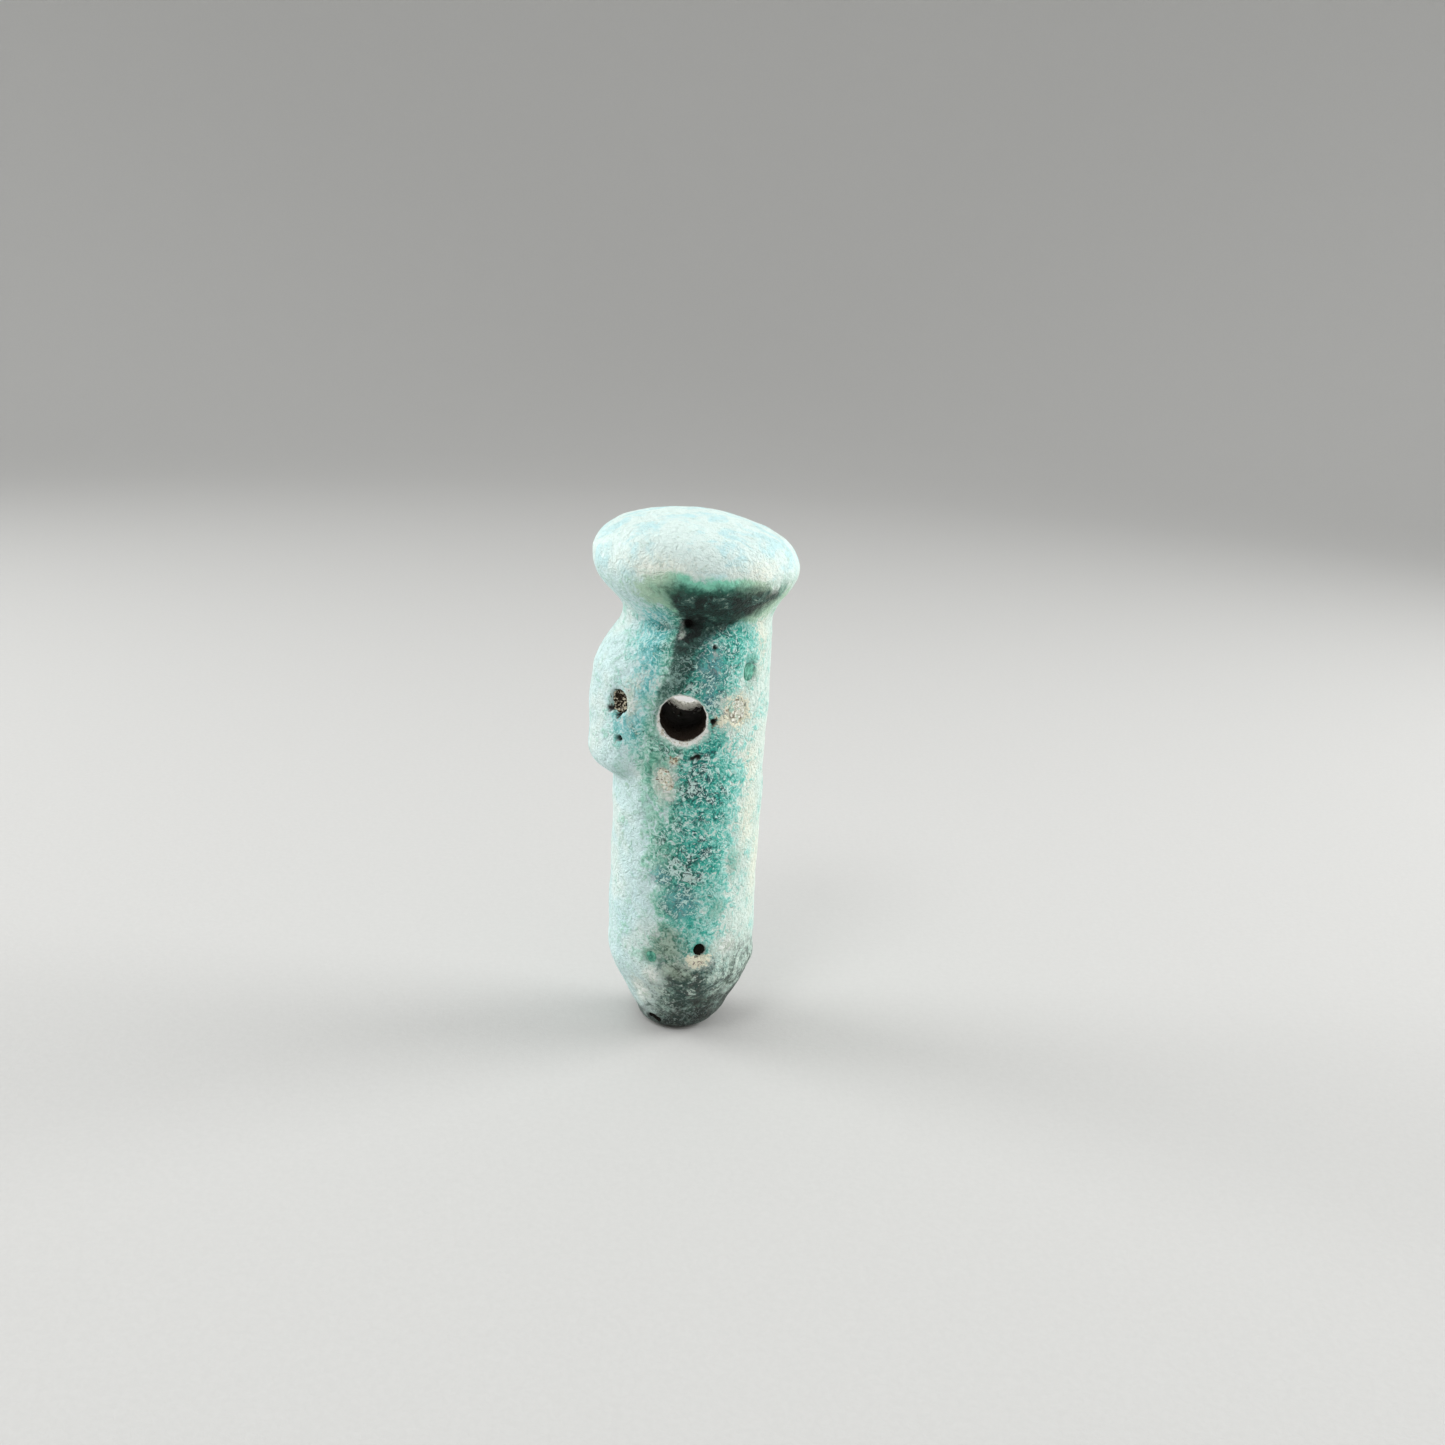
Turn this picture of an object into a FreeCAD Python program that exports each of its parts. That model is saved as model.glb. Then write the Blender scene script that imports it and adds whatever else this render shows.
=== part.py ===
import FreeCAD, Part
import math
import os

# Ancient papyrus sceptre amulet of turquoise glazed quartz paste, in millimetres.
# It stands on its foot at the origin with +Z up. The side that the hole is seen from
# faces -Y, and the suspension lug is on the -X flank.

V = FreeCAD.Vector
UP = V(0, 0, 1)
ACROSS = V(0, 1, 0)
ORIGIN = V(0, 0, 0)
FULL_TURN = 360

# foot, a blunt cone with a rounded shoulder and a bevelled toe
foot_flat_radius = 1.3
foot_toe_radius = 1.68
foot_toe_height = 0.3
foot_shoulder_radius = 3.03
foot_shoulder_height = 3.0
foot_height = 3.72

# umbel, set a little off the shaft's axis and tilted
lip_height = 20.85
lip_radius = 4.3
lip_shift = -0.12
lip_tilt = 3.3
bell_rim_radius = 3.68
bell_rim_drop = 1.4
bell_foot_radius = 2.3
bell_depth = 2.74
dome_height = 1.9

# shaft, flared into the umbel
shaft_radius = 3.2
shaft_flare_radius = 3.38
shaft_top_overlap = 1.09
neck_drop = 3.45
neck_height = lip_height - neck_drop
shaft_top = lip_height - bell_depth + shaft_top_overlap

# groove in the shaft under the umbel, set off its axis so that it runs out on the right
groove_drop = 2.4
groove_waist_radius = 2.82
groove_waist = 0.3
groove_reach = 1.1
groove_flank_angle = 45
groove_shift_x = 0.35
groove_shift_y = 0.08
groove_height = lip_height - groove_drop

# suspension lug, a lump of paste pressed on to the flank and drawn up into the umbel
lug_sink = 1.25
lug_base_height = 11.45
lug_lean = 10
lug_base_radius = 1.62
lug_heel_radius = 2.6
lug_heel_rise = 1.15
lug_belly_radius = 2.99
lug_crown_radius = 3.1
lug_neck_radius = 2.38
lug_top_radius = 2.25
lug_base_x = lug_sink - shaft_radius
lug_length = (shaft_top - lug_base_height) / math.cos(math.radians(lug_lean))

# stringing hole through the column beside the lug
bore_radius = 0.94
bore_x = -0.29
bore_height = 14.74

# glaze, worn away round the mouths of the hole and under the foot
glaze_thickness = 0.25
mouth_radius = 1.12
mouth_drop = 0.12
bare_foot_height = 0.3

# how far a cut runs past what it passes through
overrun = 1.0

# bends of the outlines, as shares of the way across and up each stretch
shoulder_bend_shares = (0.76, 0.5)
lip_bend_shares = (0.73, 0.44)
dome_bend_shares = (0.3, 0.58)
heel_bend_shares = (0.72, 0.3)
crown_bend_shares = (0.32, 0.5)

# how far up the lug its belly, its crown and its neck lie
lug_belly_share = 0.4
lug_crown_share = 0.55
lug_neck_share = 0.8

# how far out the dome's cap meets its shoulder
dome_break_share = 0.706

# hollows: bearing from the front and turn in degrees, height as a share of the lip's
# height, then half width, half length and depth as shares of the shaft's radius
soil_pit_shares = (
    (-50, 8, 0.725, 0.13, 0.17, 0.15),
    (17, 0, 0.218, 0.085, 0.09, 0.12),
    (-31, 75, 0.025, 0.07, 0.10, 0.09),
)
pool_shares = (
    (47, -6, 0.797, 0.09, 0.13, 0.07),
    (-21, 20, 0.197, 0.08, 0.09, 0.06),
)
crust_shares = (
    (37, 12, 0.719, 0.15, 0.18, 0.07),
    (-16, 24, 0.580, 0.10, 0.17, 0.07),
)

# how much of each hollow's depth is left free above what fills it
soil_free_share = 0.45
pool_free_share = 0.2
crust_free_share = 0.25


def outline(start, strokes):
    # a closed face in radius and height; a stroke of two points is an arc
    here = V(start[0], 0, start[1])
    first = here
    edges = []
    for stroke in strokes:
        points = [V(radius, 0, height) for radius, height in stroke]
        if len(points) > 1:
            edges.append(Part.Arc(here, points[0], points[1]).toShape())
        else:
            edges.append(Part.LineSegment(here, points[0]).toShape())
        here = points[-1]
    edges.append(Part.LineSegment(here, first).toShape())
    return Part.Face(Part.Wire(edges))


def turned(start, strokes):
    return outline(start, strokes).revolve(ORIGIN, UP, FULL_TURN)


def bend(low, high, shares, inset):
    # an arc from the low point to the high one, by way of the given shares of both;
    # under the glaze the paste was left straight there
    if inset:
        return (high,)
    across = low[0] + (high[0] - low[0]) * shares[0]
    rise = low[1] + (high[1] - low[1]) * shares[1]
    return ((across, rise), high)


def cap(edge, crown, inset):
    # a round cap, from its edge up to the crown on the axis; straight under the glaze
    rise = crown - edge[1]
    ball = (edge[0] ** 2 + rise ** 2) / (2 * rise)
    half = math.asin(edge[0] / ball) / 2
    middle = (ball * math.sin(half), crown - ball + ball * math.cos(half))
    if inset:
        return [(middle,), ((0, crown),)]
    return [(middle, (0, crown))]


def shaft(inset):
    flat = (foot_flat_radius - inset, 0)
    toe = (foot_toe_radius - inset, foot_toe_height)
    shoulder = (foot_shoulder_radius - inset, foot_shoulder_height)
    foot = (shaft_radius - inset, foot_height)
    neck = (shaft_radius - inset, neck_height)
    flare = (shaft_flare_radius - inset, shaft_top)
    strokes = [
        (flat,),
        (toe,),
        (shoulder,),
        bend(shoulder, foot, shoulder_bend_shares, inset),
        (neck,),
        (flare,),
        ((0, shaft_top),),
    ]
    return turned((0, 0), strokes)


def umbel(inset):
    wide = lip_radius - inset
    crown = dome_height - inset
    foot = (bell_foot_radius - inset, -bell_depth)
    rim = (bell_rim_radius - inset, -bell_rim_drop)
    lip = (wide, 0)
    shoulder = (wide * dome_break_share, crown * math.sqrt(1 - dome_break_share ** 2))
    strokes = [
        (foot,),
        (rim,),
        bend(rim, lip, lip_bend_shares, inset),
        bend(lip, shoulder, dome_bend_shares, inset),
    ]
    body = turned((0, -bell_depth), strokes + cap(shoulder, crown, inset))
    body.rotate(ORIGIN, ACROSS, lip_tilt)
    body.translate(V(lip_shift, 0, lip_height))
    return body


def groove(inset):
    # a ring with a flat waist and flanks that open outwards
    slope = math.radians(groove_flank_angle)
    waist = groove_waist_radius - inset
    half = groove_waist / 2 + inset * math.tan(slope / 2)
    outside = groove_waist_radius + groove_reach
    flank = half + (outside - waist) * math.tan(slope)
    strokes = [((waist, half),), ((outside, flank),), ((outside, -flank),)]
    ring = turned((waist, -half), strokes)
    ring.translate(V(groove_shift_x, groove_shift_y, groove_height))
    return ring


def column(inset):
    return shaft(inset).cut(groove(inset)).fuse(umbel(inset))


def lump(inset):
    base = (lug_base_radius - inset, inset)
    heel = (lug_heel_radius - inset, lug_heel_rise)
    belly = (lug_belly_radius - inset, lug_length * lug_belly_share)
    crown = (lug_crown_radius - inset, lug_length * lug_crown_share)
    neck = (lug_neck_radius - inset, lug_length * lug_neck_share)
    top = (lug_top_radius - inset, lug_length - inset)
    strokes = [
        (base,),
        bend(base, heel, heel_bend_shares, inset),
        (belly,),
        (crown,),
        bend(crown, neck, crown_bend_shares, inset),
        (top,),
        ((0, lug_length - inset),),
    ]
    body = turned((0, inset), strokes)
    body.rotate(ORIGIN, ACROSS, lug_lean)
    body.translate(V(lug_base_x, 0, lug_base_height))
    return body


def bar(radius, drop):
    # a round bar through everything, on the axis of the stringing hole
    reach = lip_radius + overrun
    start = V(bore_x, -reach, bore_height - drop)
    return Part.makeCylinder(radius, 2 * reach, start, ACROSS)


def toe_slab():
    side = 2 * (shaft_radius + overrun)
    corner = V(-side / 2, -side / 2, -overrun)
    return Part.makeBox(side, side, bare_foot_height + overrun, corner)


def seat(form, bearing, height):
    # the form's outermost point in one direction from the axis, and its normal there
    turn = math.radians(bearing)
    outward = V(math.sin(turn), -math.cos(turn), 0)
    middle = V(0, 0, height)
    ray = Part.LineSegment(middle, middle + outward * (lip_radius + overrun)).toShape()
    hits = form.common(ray).Vertexes
    point = max((hit.Point for hit in hits), key=outward.dot)
    face = min(form.Faces, key=lambda each: each.distToShape(Part.Vertex(point))[0])
    normal = face.normalAt(*face.Surface.parameter(point))
    return point, normal if normal.dot(outward) > 0 else -normal


def hollow(form, shares, free_share):
    # a round or long-nosed scoop square to the surface, and the plug that fills it
    bearing, turn, height, wide, long, deep = shares
    point, normal = seat(form, bearing, height * lip_height)
    width = wide * shaft_radius
    depth = deep * shaft_radius
    stretch = (long - wide) * shaft_radius
    ball = (width ** 2 + depth ** 2) / (2 * depth)
    side = UP.cross(normal).normalize()
    way = FreeCAD.Rotation(normal, turn).multVec(normal.cross(side))
    centre = point + normal * (ball - depth)
    start = centre - way * stretch
    scoop = Part.makeCylinder(ball, 2 * stretch, start, way)
    scoop = scoop.fuse(Part.makeSphere(ball, start))
    scoop = scoop.fuse(Part.makeSphere(ball, centre + way * stretch))
    level = point - normal * (depth * free_share)
    above = Part.makeCylinder(2 * (ball + stretch), 2 * ball + overrun, level, normal)
    return scoop, scoop.cut(above)


def hollows(form, table, free_share):
    pairs = [hollow(form, shares, free_share) for shares in table]
    scoops = [scoop for scoop, plug in pairs]
    plugs = Part.makeCompound([plug for scoop, plug in pairs])
    return scoops, plugs


def column_core(cuts):
    core = column(glaze_thickness).fuse(column(0).common(toe_slab())).removeSplitter()
    return core.cut([bar(bore_radius, 0)] + cuts)


def suspension_lug(cuts):
    lug = lump(glaze_thickness).cut(column(glaze_thickness))
    return lug.cut([bar(bore_radius, 0)] + cuts)


def glaze_coat(outer, cuts):
    inner = [column(glaze_thickness), lump(glaze_thickness), toe_slab()]
    return outer.cut(inner).cut([bar(mouth_radius, mouth_drop)] + cuts)


def amulet():
    outer = column(0).fuse(lump(0))
    pits, soil = hollows(outer, soil_pit_shares, soil_free_share)
    dimples, pools = hollows(outer, pool_shares, pool_free_share)
    scars, crust = hollows(outer, crust_shares, crust_free_share)
    cuts = pits + dimples + scars
    return {
        "column_core": column_core(cuts),
        "suspension_lug": suspension_lug(cuts),
        "glaze_coat": glaze_coat(outer, cuts),
        "pit_soil": soil,
        "glaze_pools": pools,
        "buff_crust": crust,
    }


os.makedirs("parts", exist_ok=True)
for name, shape in amulet().items():
    shape.exportStep("parts/" + name + ".step")
    volumes = [round(solid.Volume, 3) for solid in shape.Solids]
    print(name, "valid", shape.isValid(), "solids", volumes)
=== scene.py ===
import math

import bmesh
import bpy
import numpy as np
from mathutils import Matrix, Vector, noise


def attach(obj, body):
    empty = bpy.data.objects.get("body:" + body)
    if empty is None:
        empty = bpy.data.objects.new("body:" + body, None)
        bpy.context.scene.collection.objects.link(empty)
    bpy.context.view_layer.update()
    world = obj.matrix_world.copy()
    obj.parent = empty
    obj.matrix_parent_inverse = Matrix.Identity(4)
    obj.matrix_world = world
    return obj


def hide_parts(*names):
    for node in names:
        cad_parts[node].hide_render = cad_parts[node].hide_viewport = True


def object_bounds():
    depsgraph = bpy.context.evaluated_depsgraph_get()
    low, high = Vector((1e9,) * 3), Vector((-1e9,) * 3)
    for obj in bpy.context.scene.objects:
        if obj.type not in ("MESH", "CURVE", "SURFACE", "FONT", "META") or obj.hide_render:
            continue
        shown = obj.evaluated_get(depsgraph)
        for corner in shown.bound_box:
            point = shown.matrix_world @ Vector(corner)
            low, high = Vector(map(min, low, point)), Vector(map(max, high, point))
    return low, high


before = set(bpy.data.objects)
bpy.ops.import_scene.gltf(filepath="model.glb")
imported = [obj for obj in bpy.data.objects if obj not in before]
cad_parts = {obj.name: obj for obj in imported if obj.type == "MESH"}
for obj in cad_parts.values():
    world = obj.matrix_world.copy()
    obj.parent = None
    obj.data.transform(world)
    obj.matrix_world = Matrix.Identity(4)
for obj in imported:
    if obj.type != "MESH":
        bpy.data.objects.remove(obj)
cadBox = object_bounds()
scene = bpy.context.scene
perMetre = 1000  # everything is shaped in millimetres and made metres at the end
print("frame loaded", sorted(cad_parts))


def tint(red, green, blue):
    # a colour read off a screen, as the light that a surface gives back
    return tuple(((each / 255 + 0.055) / 1.055) ** 2.4 if each > 10 else each / 255 / 12.92
                 for each in (red, green, blue)) + (1,)


def tinted(colours):
    return {name: tint(*colour) for name, colour in colours.items()}


class Wire:
    # one socket's value, so that shader maths reads as plain expressions
    def __init__(self, bench, socket):
        self.bench = bench
        self.socket = socket

    def maths(self, operation, *values):
        return self.bench.node("ShaderNodeMath", {"operation": operation}, dict(enumerate(values)))

    def __add__(self, other):
        return self.maths("ADD", self, other)

    def __radd__(self, other):
        return self.maths("ADD", other, self)

    def __sub__(self, other):
        return self.maths("SUBTRACT", self, other)

    def __rsub__(self, other):
        return self.maths("SUBTRACT", other, self)

    def __mul__(self, other):
        return self.maths("MULTIPLY", self, other)

    def __rmul__(self, other):
        return self.maths("MULTIPLY", other, self)

    def __abs__(self):
        return self.maths("ABSOLUTE", self)


class Bench:
    # a node tree with short ways to add to it
    def __init__(self, tree):
        self.tree = tree
        self.tree.nodes.clear()

    def feed(self, socket, value):
        if isinstance(value, Wire):
            self.tree.links.new(value.socket, socket)
        else:
            socket.default_value = value

    def node(self, kind, settings, values, out=0):
        made = self.tree.nodes.new(kind)
        for name, setting in settings.items():
            setattr(made, name, setting)
        for key, value in values.items():
            self.feed(made.inputs[key], value)
        return Wire(self, made.outputs[out]) if len(made.outputs) else None

    def placed(self):
        # places on the piece in millimetres
        spot = self.node("ShaderNodeTexCoord", {}, {}, "Object")
        return self.node("ShaderNodeMapping", {}, {"Vector": spot, "Scale": (perMetre,) * 3})

    def axis(self, vector, name):
        return self.node("ShaderNodeSeparateXYZ", {}, {"Vector": vector}, name)

    def cloud(self, vector, size, detail=3.0, rough=0.5, twist=0.0, seed=0):
        # soft noise whose lumps are about size across; a seed moves it elsewhere
        if seed:
            shift = (seed * 7.31, seed * -3.17, seed * 5.43)
            vector = self.node("ShaderNodeVectorMath", {"operation": "ADD"}, {0: vector, 1: shift})
        values = {"Vector": vector, "Scale": 1 / size, "Detail": detail, "Roughness": rough,
                  "Distortion": twist}
        return self.node("ShaderNodeTexNoise", {}, values)

    def step(self, value, low, high):
        values = {"Value": value, "From Min": low, "From Max": high}
        return self.node("ShaderNodeMapRange", {"interpolation_type": "SMOOTHSTEP"}, values)

    def mix(self, factor, first, second):
        # sockets 6 and 7 take the colours, and socket 2 gives the mixed one
        return self.node("ShaderNodeMix", {"data_type": "RGBA"}, {0: factor, 6: first, 7: second}, 2)

    def painted(self, name):
        return self.node("ShaderNodeAttribute", {"attribute_name": name}, {}, "Fac")

    def bump(self, height, strength, distance):
        values = {"Height": height, "Strength": strength, "Distance": distance}
        return self.node("ShaderNodeBump", {}, values)


def newMaterial(name, benchKind=Bench):
    material = bpy.data.materials.new(name)
    material.use_nodes = True
    return material, benchKind(material.node_tree)


def finishMaterial(bench, colour, roughness, normal, fixed):
    values = {"Base Color": colour, "Roughness": roughness, "Normal": normal}
    values.update(fixed)
    surface = bench.node("ShaderNodeBsdfPrincipled", {}, values)
    bench.node("ShaderNodeOutputMaterial", {}, {"Surface": surface})


sewnWithin = 0.0002  # millimetres between corners of loose triangles that are one point


def sewn(*nodeNames):
    # the named solids in millimetres, each with its loose triangles sewn together
    whole = bmesh.new()
    for nodeName in nodeNames:
        solid = bmesh.new()
        solid.from_mesh(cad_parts[nodeName].data)
        bmesh.ops.scale(solid, vec=(perMetre,) * 3, verts=solid.verts)
        bmesh.ops.remove_doubles(solid, verts=solid.verts, dist=sewnWithin)
        part = bpy.data.meshes.new("part")
        solid.to_mesh(part)
        solid.free()
        whole.from_mesh(part)
        bpy.data.meshes.remove(part)
    mesh = bpy.data.meshes.new("whole")
    whole.to_mesh(mesh)
    whole.free()
    return mesh


def evaluated(holder):
    # a plain mesh with the holder's modifiers applied
    depsgraph = bpy.context.evaluated_depsgraph_get()
    return bpy.data.meshes.new_from_object(holder.evaluated_get(depsgraph))


def voxelled(mesh, voxel):
    # one even closed skin round the mesh
    holder = bpy.data.objects.new("holder", mesh)
    scene.collection.objects.link(holder)
    remesh = holder.modifiers.new("voxels", "REMESH")
    remesh.mode = "VOXEL"
    remesh.voxel_size = voxel
    fresh = evaluated(holder)
    bpy.data.objects.remove(holder)
    return fresh


grainShape = {
    "turn": 6.28,                                           # radians
    "squat": (0.6, 0.7, 0.6), "stout": (1.3, 1.1, 0.9),     # the least and the most stretch
}


def grainTree():
    # grains strewn over a mesh, each a small uneven lump, most where the attribute named bare is high
    tree = bpy.data.node_groups.new("strewnGrains", "GeometryNodeTree")
    sockets = [("Mesh", "NodeSocketGeometry", None), ("Grains per area", "NodeSocketFloat", 40.0),
               ("Smallest", "NodeSocketFloat", 0.02), ("Largest", "NodeSocketFloat", 0.05),
               ("Seed", "NodeSocketInt", 1), ("Finish", "NodeSocketMaterial", None)]
    for name, kind, start in sockets:
        socket = tree.interface.new_socket(name, in_out="INPUT", socket_type=kind)
        if start is not None:
            socket.default_value = start
    tree.interface.new_socket("Mesh", in_out="OUTPUT", socket_type="NodeSocketGeometry")
    bench = Bench(tree)
    given = {name: bench.node("NodeGroupInput", {}, {}, place)
             for place, (name, kind, start) in enumerate(sockets)}
    bare = bench.node("GeometryNodeInputNamedAttribute", {"data_type": "FLOAT"}, {"Name": "bare"})
    density = bare * given["Grains per area"]
    spots = bench.node("GeometryNodeDistributePointsOnFaces", {"distribute_method": "RANDOM"},
                       {"Mesh": given["Mesh"], "Density": density, "Seed": given["Seed"]})
    lump = bench.node("GeometryNodeMeshIcoSphere", {}, {"Radius": 1.0, "Subdivisions": 1})
    turn = bench.node("FunctionNodeRandomValue", {"data_type": "FLOAT_VECTOR"},
                      {0: (0, 0, 0), 1: (grainShape["turn"],) * 3, "Seed": given["Seed"]})
    size = bench.node("FunctionNodeRandomValue", {"data_type": "FLOAT"},
                      {2: given["Smallest"], 3: given["Largest"], "Seed": given["Seed"]}, 1)
    shape = bench.node("FunctionNodeRandomValue", {"data_type": "FLOAT_VECTOR"},
                       {0: grainShape["squat"], 1: grainShape["stout"], "Seed": given["Seed"]})
    scaled = bench.node("ShaderNodeVectorMath", {"operation": "SCALE"}, {0: shape, "Scale": size})
    placed = bench.node("GeometryNodeInstanceOnPoints", {},
                        {"Points": spots, "Instance": lump, "Rotation": turn, "Scale": scaled})
    joined = bench.node("GeometryNodeJoinGeometry", {}, {"Geometry": placed})
    bench.feed(joined.socket.node.inputs["Geometry"], given["Mesh"])
    real = bench.node("GeometryNodeRealizeInstances", {}, {"Geometry": joined})
    finished = bench.node("GeometryNodeSetMaterial", {}, {"Geometry": real, "Material": given["Finish"]})
    bench.node("NodeGroupOutput", {}, {"Mesh": finished})
    return tree


def strewn(mesh, tree, material, sizes):
    # the mesh with its grains, as one plain mesh
    holder = bpy.data.objects.new("holder", mesh)
    scene.collection.objects.link(holder)
    modifier = holder.modifiers.new("grains", "NODES")
    modifier.node_group = tree
    wanted = {"Grains per area": sizes["grains"], "Smallest": sizes["smallest"],
              "Largest": sizes["largest"], "Seed": sizes["seed"], "Finish": material}
    for item in tree.interface.items_tree:
        if item.in_out == "INPUT" and item.name in wanted:
            modifier[item.identifier] = wanted[item.name]
    fresh = evaluated(holder)
    holder.modifiers.remove(modifier)
    bpy.data.objects.remove(holder)
    return fresh


class Shell:
    # a mesh as arrays, in millimetres
    def __init__(self, mesh):
        self.mesh = mesh
        self.points = np.zeros(len(mesh.vertices) * 3)
        mesh.vertices.foreach_get("co", self.points)
        self.points = self.points.reshape(-1, 3)
        edges = np.zeros(len(mesh.edges) * 2, int)
        mesh.edges.foreach_get("vertices", edges)
        edges = edges.reshape(-1, 2)
        self.pairs = np.concatenate([edges, edges[:, ::-1]])
        self.count = np.bincount(self.pairs[:, 0], minlength=len(self.points))[:, None]

    def relaxed(self, values, rounds, give=0.5):
        # each value drawn towards the mean of its neighbours, round after round
        here, there = self.pairs[:, 0], self.pairs[:, 1]
        for turn in range(rounds):
            sums = [np.bincount(here, values[there, axis], len(values)) for axis in range(values.shape[1])]
            values = values + give * (np.stack(sums, 1) / self.count - values)
        return values

    def normals(self):
        self.write(1)
        facing = np.zeros(len(self.points) * 3)
        self.mesh.vertices.foreach_get("normal", facing)
        return facing.reshape(-1, 3)

    def write(self, scale):
        self.mesh.vertices.foreach_set("co", (self.points * scale).ravel())
        self.mesh.update()

    def paint(self, name, values):
        layer = self.mesh.attributes.new(name, "FLOAT", "POINT")
        layer.data.foreach_set("value", np.asarray(values, float))

    def piece(self, name, material, slot):
        # kept inside the CAD box
        low, high = (np.array(corner) * perMetre for corner in cadBox)
        self.points = np.clip(self.points, low, high)
        self.write(1 / perMetre)
        return asPiece(self.mesh, name, material)


def asPiece(mesh, name, material):
    mesh.name = name
    mesh.materials.clear()
    mesh.materials.append(material)
    for polygon in mesh.polygons:
        polygon.use_smooth = True
    piece = bpy.data.objects.new(name, mesh)
    scene.collection.objects.link(piece)
    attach(piece, "root")
    print("piece", name, len(mesh.polygons), "faces")
    return piece


def drift(points, size, seed):
    # noise from about -1 to 1, whose lumps are about size across
    shift = Vector((seed * 11.7, seed * -5.3, seed * 8.9))
    return np.array([noise.noise(Vector(point) / size + shift) for point in points])


def smooth(values, low, high):
    share = np.clip((values - low) / (high - low), 0, 1)
    return share * share * (3 - 2 * share)


def within(values, rise, fall):
    # 1 between two soft edges, each given by where it starts and ends
    return smooth(values, *rise) * (1 - smooth(values, *fall))


def lumpy(points, waves):
    # waves of noise added up, each with its height, size and seed
    return sum(height * drift(points, size, seed) for height, size, seed in waves)


form = {  # the unevenness that all pieces share, in millimetres
    "spine": (2.2, 20.2),                                # the line that lumps swell away from, by height
    "lumps": [(0.085, 3.4, 1), (0.05, 1.25, 2)],
    "ripples": [(0.02, 0.5, 3)],
    "footLow": (0.2, 1.0), "footHigh": (2.6, 4.2),       # where the foot's own unevenness fades
    "footSwell": 0.2, "footSide": (0.2, 1.8),            # the foot's right side is fuller than its left
    "footLumps": [(0.11, 1.1, 4)],
    "calmReach": (1.5, 2.6), "calmHeight": (0.0, 0.5),   # the spine and the very bottom stay in place
    "boreX": -0.29, "boreZ": 14.74, "shaftRadius": 3.2,
}


def outwards(points):
    spine = np.zeros_like(points)
    spine[:, 2] = np.clip(points[:, 2], *form["spine"])
    way = points - spine
    reach = np.linalg.norm(way, axis=1, keepdims=True)
    return way / np.maximum(reach, 1e-6), reach[:, 0]


def pressed(points, ripple=1.0):
    # the unevenness of paste that was rolled and pressed by hand, the same for every piece
    way, reach = outwards(points)
    x, y, z = points.T
    swell = lumpy(points, form["lumps"]) + ripple * lumpy(points, form["ripples"])
    foot = within(z, form["footLow"], form["footHigh"])
    swell += form["footSwell"] * foot * smooth(x, *form["footSide"])
    swell += foot * lumpy(points, form["footLumps"])
    calm = smooth(reach, *form["calmReach"]) * smooth(z, *form["calmHeight"])
    return points + way * (swell * calm)[:, None]


def fromBore(points):
    # how far each point is from the hole's axis, and the way away from it
    away = points - np.array([form["boreX"], 0, form["boreZ"]])
    away[:, 1] = 0
    reach = np.linalg.norm(away, axis=1, keepdims=True)
    return reach[:, 0], away / np.maximum(reach, 1e-6)


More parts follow.
